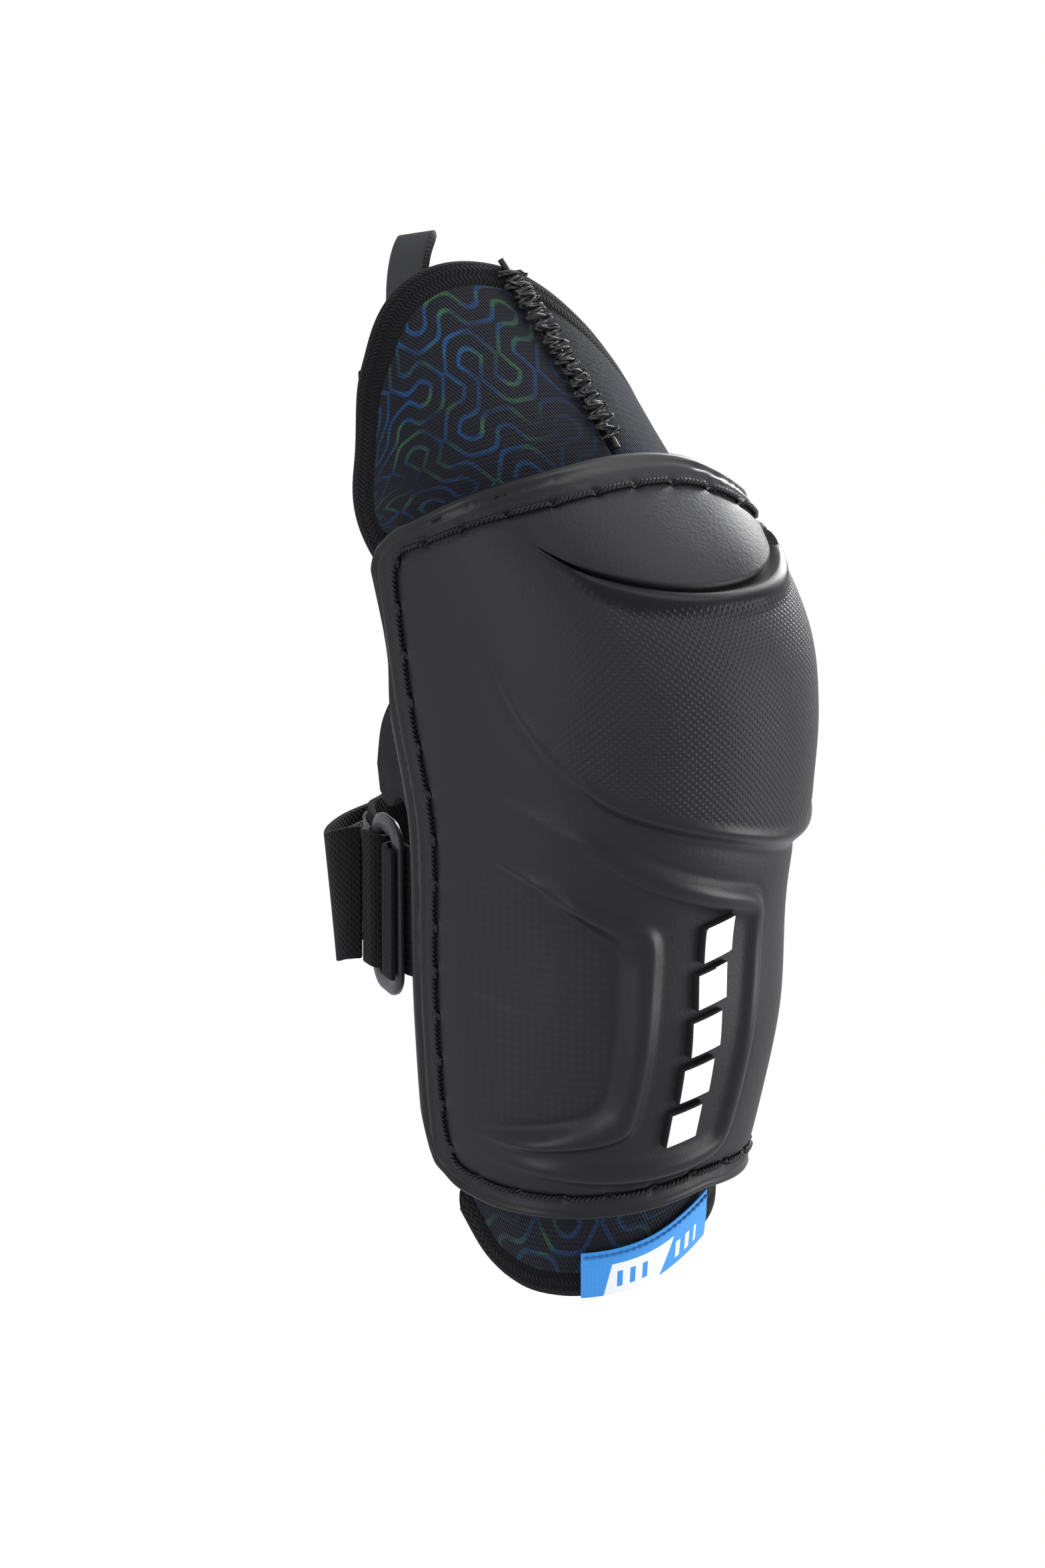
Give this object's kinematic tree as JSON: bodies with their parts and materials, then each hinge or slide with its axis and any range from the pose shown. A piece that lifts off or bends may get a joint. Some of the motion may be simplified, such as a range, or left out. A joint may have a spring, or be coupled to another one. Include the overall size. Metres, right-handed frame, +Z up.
{
  "type": "ice hockey elbow guard",
  "caption": "Youth ice hockey elbow guard: moulded cap with elbow dome and forearm plate, padded carrier, leaning upper-arm flare, elastic straps and ring.",
  "frame": {"origin": "on the forearm's axis, level with the bottom of the cuff", "axes": "+Z up along the forearm towards the elbow, the elbow dome faces -Y, +X is to the right seen from the front"},
  "size_m": [0.0967, 0.1247, 0.2535],
  "materials": {
    "moulded_plastic": "satin black moulding, smooth ridges, pebble grain and fine dots",
    "bonded_thread": "thick twisted black thread",
    "white_print": "white print on black raised bars",
    "closed_cell_foam": "grey closed-cell foam",
    "printed_fabric": "dark twill with a printed blue and green line pattern",
    "side_fabric": "smooth black padded fabric",
    "brushed_liner": "brushed dark liner",
    "knitted_elastic": "black knitted binding with zigzag ribs",
    "strap_elastic": "black woven elastic",
    "webbing": "black webbing with overlocked edge",
    "label_weave": "woven blue label with a white patch",
    "ring_plastic": "satin dark grey plastic",
    "hook_and_loop": "black hook and loop tape"
  },
  "bodies": {
    "pad": {"cap_shell": "moulded_plastic", "cap_thread": "bonded_thread", "emblem_bar_1": "white_print", "emblem_bar_2": "white_print", "emblem_bar_3": "white_print", "emblem_bar_4": "white_print", "emblem_bar_5": "white_print", "elbow_foam": "closed_cell_foam", "forearm_foam": "closed_cell_foam", "chassis_cover": "printed_fabric", "arm_liner": "brushed_liner", "left_side_wing": "side_fabric", "right_side_wing": "side_fabric", "cuff_pad": "printed_fabric", "cuff_binding": "knitted_elastic", "size_label": "label_weave", "ring_tab": "webbing", "forearm_strap": "strap_elastic", "forearm_strap_patch": "bonded_thread", "strap_loop_patch": "hook_and_loop"},
    "ring": {"forearm_ring": "ring_plastic", "forearm_strap_turn": "strap_elastic"},
    "strap_tail": {"forearm_strap_tail": "strap_elastic", "tail_hook_patch": "hook_and_loop"},
    "flare": {"flare_panel_left": "printed_fabric", "flare_panel_right": "printed_fabric", "flare_lining": "brushed_liner", "flare_binding": "knitted_elastic", "flare_seam": "bonded_thread", "bicep_strap": "strap_elastic", "bicep_strap_patch": "bonded_thread"},
    "bicep_end": {"bicep_strap_end": "hook_and_loop"}
  },
  "joints": [
    {"name": "flare_flex", "type": "hinge", "parent": "pad", "child": "flare", "pos_m": [0, 0.021, 0.181], "axis": [1, 0, 0], "range_deg": [-10, 8], "stiffness_Nm_per_rad": 0.6},
    {"name": "ring_swing", "type": "hinge", "parent": "pad", "child": "ring", "pos_m": [-0.037, 0.0272, 0.091], "axis": [0, 0, 1], "range_deg": [0, 15]},
    {"name": "tail_peel", "type": "hinge", "parent": "ring", "child": "strap_tail", "pos_m": [-0.0326, 0.04279, 0.091], "axis": [0, 0, 1], "range_deg": [0, 75]},
    {"name": "bicep_end_fold", "type": "hinge", "parent": "flare", "child": "bicep_end", "pos_m": [-0.009, 0.049, 0.218], "axis": [1, 0, 0], "range_deg": [-50, 0]}
  ]
}
